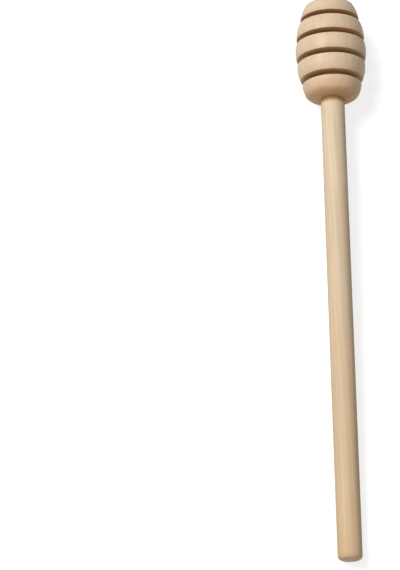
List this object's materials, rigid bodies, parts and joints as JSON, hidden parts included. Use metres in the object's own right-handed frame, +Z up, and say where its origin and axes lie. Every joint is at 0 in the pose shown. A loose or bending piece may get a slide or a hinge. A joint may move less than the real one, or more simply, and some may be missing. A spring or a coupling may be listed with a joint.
{
  "type": "honey dipper",
  "caption": "Turned wooden honey dipper: a grooved barrel-shaped head glued on a straight round dowel handle, for lifting and drizzling honey.",
  "frame": {"origin": "on the surface that the dipper lies on, under the centre of its bounding box", "axes": "+X along the dipper from the handle's end to the tip of the head, +Z up from the surface; the dipper's own axis leans up by 2.6 degrees towards the tip"},
  "size_m": [0.1602, 0.02, 0.02],
  "materials": {
    "head_wood": "bare, sanded",
    "handle_wood": "bare, sanded",
    "wood_glue": "cured, satin"
  },
  "bodies": {
    "root": {"head": "head_wood", "handle": "handle_wood", "glue_line": "wood_glue"}
  },
  "joints": []
}
